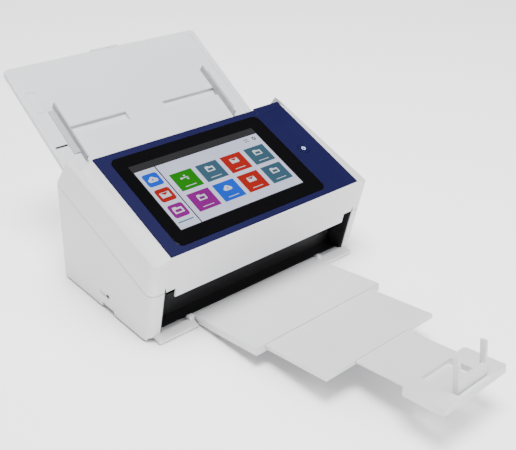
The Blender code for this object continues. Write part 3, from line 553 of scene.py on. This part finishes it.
def make_screen():
    x0, v0, x1, v1 = SCREEN
    on_glass("bar", [(x0, v0), (x1, v0), (x1, v1), (x0, v1)], 0, "bar")
    left, right, bottom = x0 + PAGE_INSET, x1 - PAGE_INSET, v0 + PAGE_INSET
    page = [(left, bottom), (right, bottom), (right, STATUS_BAR_V), (left, STATUS_BAR_V)]
    on_glass("page", page, 1, "page")
    left, right = SIDEBAR_X - DIVIDER_HALF, SIDEBAR_X + DIVIDER_HALF
    divider = [(left, bottom), (right, bottom), (right, STATUS_BAR_V), (left, STATUS_BAR_V)]
    on_glass("divider", divider, 2, "line")
    rows = ((("green", branches), ("slate", folder), ("red", envelope), ("slate", folder)),
            (("magenta", folder), ("blue", cloud), ("red", envelope), ("slate", folder)))
    for r, (v, row) in enumerate(zip(TILE_V, rows)):
        for c, (x, (ground, picture)) in enumerate(zip(TILE_X, row)):
            on_glass(f"tile_{r}_{c}", rectangle(x, v, *TILE), 2, ground)
            picture(f"picture_{r}_{c}", x, v + PICTURE_LIFT, PICTURE_SIZE, 3, ground)
            on_glass(f"caption_{r}_{c}", rectangle(x, v - CAPTION_DROP, *CAPTION), 3, "mark")
    side = (("blue", cloud), ("red", envelope), ("magenta", folder))
    for i, (v, (ground, picture)) in enumerate(zip(ICON_V, side)):
        x = (x0 + SIDEBAR_X) / 2 + ICON_SHIFT
        half = ICON / 2
        on_glass(f"icon_{i}", rounded(x - half, v - half, x + half, v + half, ICON_R), 2, ground)
        picture(f"sign_{i}", x, v, SIGN_SIZE, 3, ground)
    on_glass("side_bar", rectangle(*SIDE_BAR), 2, "teal")
    for i, (dx, dv) in enumerate(DOT_OFFSETS):
        on_glass(f"dot_{i}", circle(DOTS_AT[0] + dx, DOTS_AT[1] + dv, DOT_R, 12), 2, "dim")
    on_glass("gear", circle(*GEAR_AT, GEAR_R, 10), 2, "dim")
    on_glass("gear_eye", circle(*GEAR_AT, GEAR_EYE_R, 12), 3, "page")


def make_power_mark():
    """A lit ring with a gap, and a stroke through the gap, on the power button."""
    x, v = BUTTON_AT
    inner, outer = (circle(x, v, r, 28, *MARK_SPAN) for r in MARK_RADII)
    ring = slab_mesh("power_mark_ring", outer + list(reversed(inner)), *RING_Z, PANEL)
    trim("power_mark_ring", ring, SCREEN_LOOKS["lamp"], "power_button")
    low, high = (v + end for end in STROKE_ENDS)
    outline = rounded(x - STROKE_HALF, low, x + STROKE_HALF, high, STROKE_R, 3)
    stroke = slab_mesh("power_mark_stroke", outline, *STROKE_Z, PANEL)
    trim("power_mark_stroke", stroke, SCREEN_LOOKS["lamp"], "power_button")


# ---------------------------------------------------------------- trays

def ring_cutter(name, x0, y0, x1, y1, r, width, depth, place):
    """A rounded-rectangle channel cutter."""
    outer = add(name, slab_mesh(name, rounded(x0, y0, x1, y1, r), -depth, 3, place))
    core = rounded(x0 + width, y0 + width, x1 - width, y1 - width, max(0.3, r - width))
    inner = add(name + "_core", slab_mesh(name + "_core", core, -depth - 1, 4, place))
    return combine(outer, [inner])


def make_input_tray():
    tray = clean_copy("input_tray", "input_tray_skin")
    x0, y0, x1, y1 = NOTCH
    cutters = [
        ring_cutter("finger_pad", *FINGER_PAD, PAD_CORNER_R, *PAD_GROOVE, TRAY),
        box_cutter("index_notch", (x0, y0, NOTCH_FLOOR), (x1, y1, 3), TRAY),
        box_cutter("right_channel", *RIGHT_CHANNEL, TRAY),
    ]
    combine(tray, cutters)
    settle(soften(tray, 0.5), "input_tray")
    # A black slab just under the notch's rim: painted shade for the darkness of a deep notch
    x0, y0, x1, y1 = x0 + NOTCH_PAINTED_SHADE_MARGIN, y0 + NOTCH_PAINTED_SHADE_MARGIN, x1 - NOTCH_PAINTED_SHADE_MARGIN, y1 - NOTCH_PAINTED_SHADE_MARGIN
    outline = [(x0, y0), (x1, y0), (x1, y1), (x0, y1)]
    insert = slab_mesh("index_notch_painted_shade", outline, *NOTCH_PAINTED_SHADE_Z, TRAY)
    trim("index_notch_painted_shade", insert, LOOKS["black_plastic"], "input_tray")


def make_end_plate():
    """The end plate: a narrow lip stands along its front edge."""
    skin = soften(clean_copy("output_end_tray", "output_end_tray_skin"), 0.7)
    low, high = (-60, LIP_BACK_Y, PLATE_TOP - LIP_STEP), (60, PLATE_BACK_Y, PLATE_TOP + 3)
    step = box_cutter("lip_step", low, high, OUTPUT)
    settle(soften(combine(skin, [step]), 0), "output_end_tray")


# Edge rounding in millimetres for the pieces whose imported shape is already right.
EDGES = {
    "control_panel": 0.4, "touch_glass": 0.3, "power_button": 0.6, "release_lever": 0.5, "bottom_pan": 0.4,
    "exit_liner": 0.3, "input_extension": 0.4, "left_guide": 0.4, "right_guide": 0.4, "output_tray": 0.8,
    "output_extension": 0.6, "paper_stop": 0.5, "lower_guide": 0.4, "upper_guide": 0.3,
    "foot_front_left": 0.6, "foot_front_right": 0.6, "foot_rear_left": 0.6, "foot_rear_right": 0.6,
    "power_inlet": 0.2, "usb_port": 0.2, "network_port": 0.2, "drive_motor": 0.8, "left_frame": 0.2,
    "right_frame": 0.2, "main_board": 0.2, "display_board": 0.2, "display_module": 0.4,
    "lower_image_sensor": 0.4, "upper_image_sensor": 0.4, "lower_scan_glass": 0.2, "upper_scan_glass": 0.2,
}


def make_plain_skins():
    """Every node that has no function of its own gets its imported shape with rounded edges."""
    own = {*SHELLS, "input_tray", "output_end_tray"}
    for node in NODES:
        if node not in own:
            settle(soften(clean_copy(node, node + "_skin"), EDGES.get(node, 0)), node)


# ---------------------------------------------------------------- studio

def make_floor():
    """A pale floor that glows, less so where the object stands close over it: a painted contact shadow,
    driven by ambient occlusion.
    """
    outline = [(x * FLOOR_HALF, y * FLOOR_HALF) for x, y in ((-1, -1), (1, -1), (1, 1), (-1, 1))]
    floor = add("studio_floor", slab_mesh("studio_floor", outline, *FLOOR_Z_RANGE, Matrix.Identity(4)))
    paper = finish_of("floor_paper", (0.90, 0.90, 0.90), 0.8, 300, 0.05, 0.005)
    shader = paper.node_tree.nodes["Principled BSDF"]
    shader.inputs["Emission Color"].default_value = (1, 1, 1, 1)
    # Painted contact shadow: ambient occlusion lowers the floor's glow where the object stands close over
    # it
    painted_shadow_ao = paper.node_tree.nodes.new("ShaderNodeAmbientOcclusion")
    painted_shadow_ao.inputs["Distance"].default_value = PAINTED_SHADOW_REACH
    glow = paper.node_tree.nodes.new("ShaderNodeMapRange")
    glow.inputs["From Min"].default_value = PAINTED_SHADOW_DARKEST_AO
    glow.inputs["To Max"].default_value = FLOOR_GLOW
    wire(paper.node_tree, painted_shadow_ao.outputs["AO"], glow.inputs["Value"])
    wire(paper.node_tree, glow.outputs["Result"], shader.inputs["Emission Strength"])
    floor.data.materials.append(paper)


def area_light(name, at, target, size, power):
    light = bpy.data.lights.new(name, "AREA")
    light.shape, light.size, light.energy = "DISK", size, power
    obj = bpy.data.objects.new(name, light)
    bpy.context.scene.collection.objects.link(obj)
    obj.location = at
    obj.rotation_euler = (Vector(target) - Vector(at)).to_track_quat("-Z", "Y").to_euler()


def make_studio():
    make_floor()
    area_light("key", **KEY_LIGHT)
    area_light("top", **TOP_LIGHT)
    world = bpy.data.worlds.new("studio")
    world.use_nodes = True
    background = world.node_tree.nodes["Background"]
    background.inputs["Color"].default_value = SKY_COLOUR
    background.inputs["Strength"].default_value = SKY_STRENGTH
    bpy.context.scene.world = world


def make_camera():
    """The camera stands left of the front and looks down at the panel, rolled by about one degree."""
    data = bpy.data.cameras.new("camera")
    data.lens = CAMERA_LENS
    camera = bpy.data.objects.new("camera", data)
    bpy.context.scene.collection.objects.link(camera)
    aim = Vector(CAMERA_HEADING).to_track_quat("-Z", "Y").to_matrix().to_4x4()
    roll = Matrix.Rotation(CAMERA_ROLL, 4, "Z")
    camera.matrix_world = Matrix.Translation(Vector(CAMERA_AT)) @ aim @ roll
    bpy.context.scene.camera = camera


make_camera()
make_studio()
make_shells()
make_plain_skins()
make_input_tray()
make_end_plate()
make_screen()
make_power_mark()

bpy.context.view_layer.update()
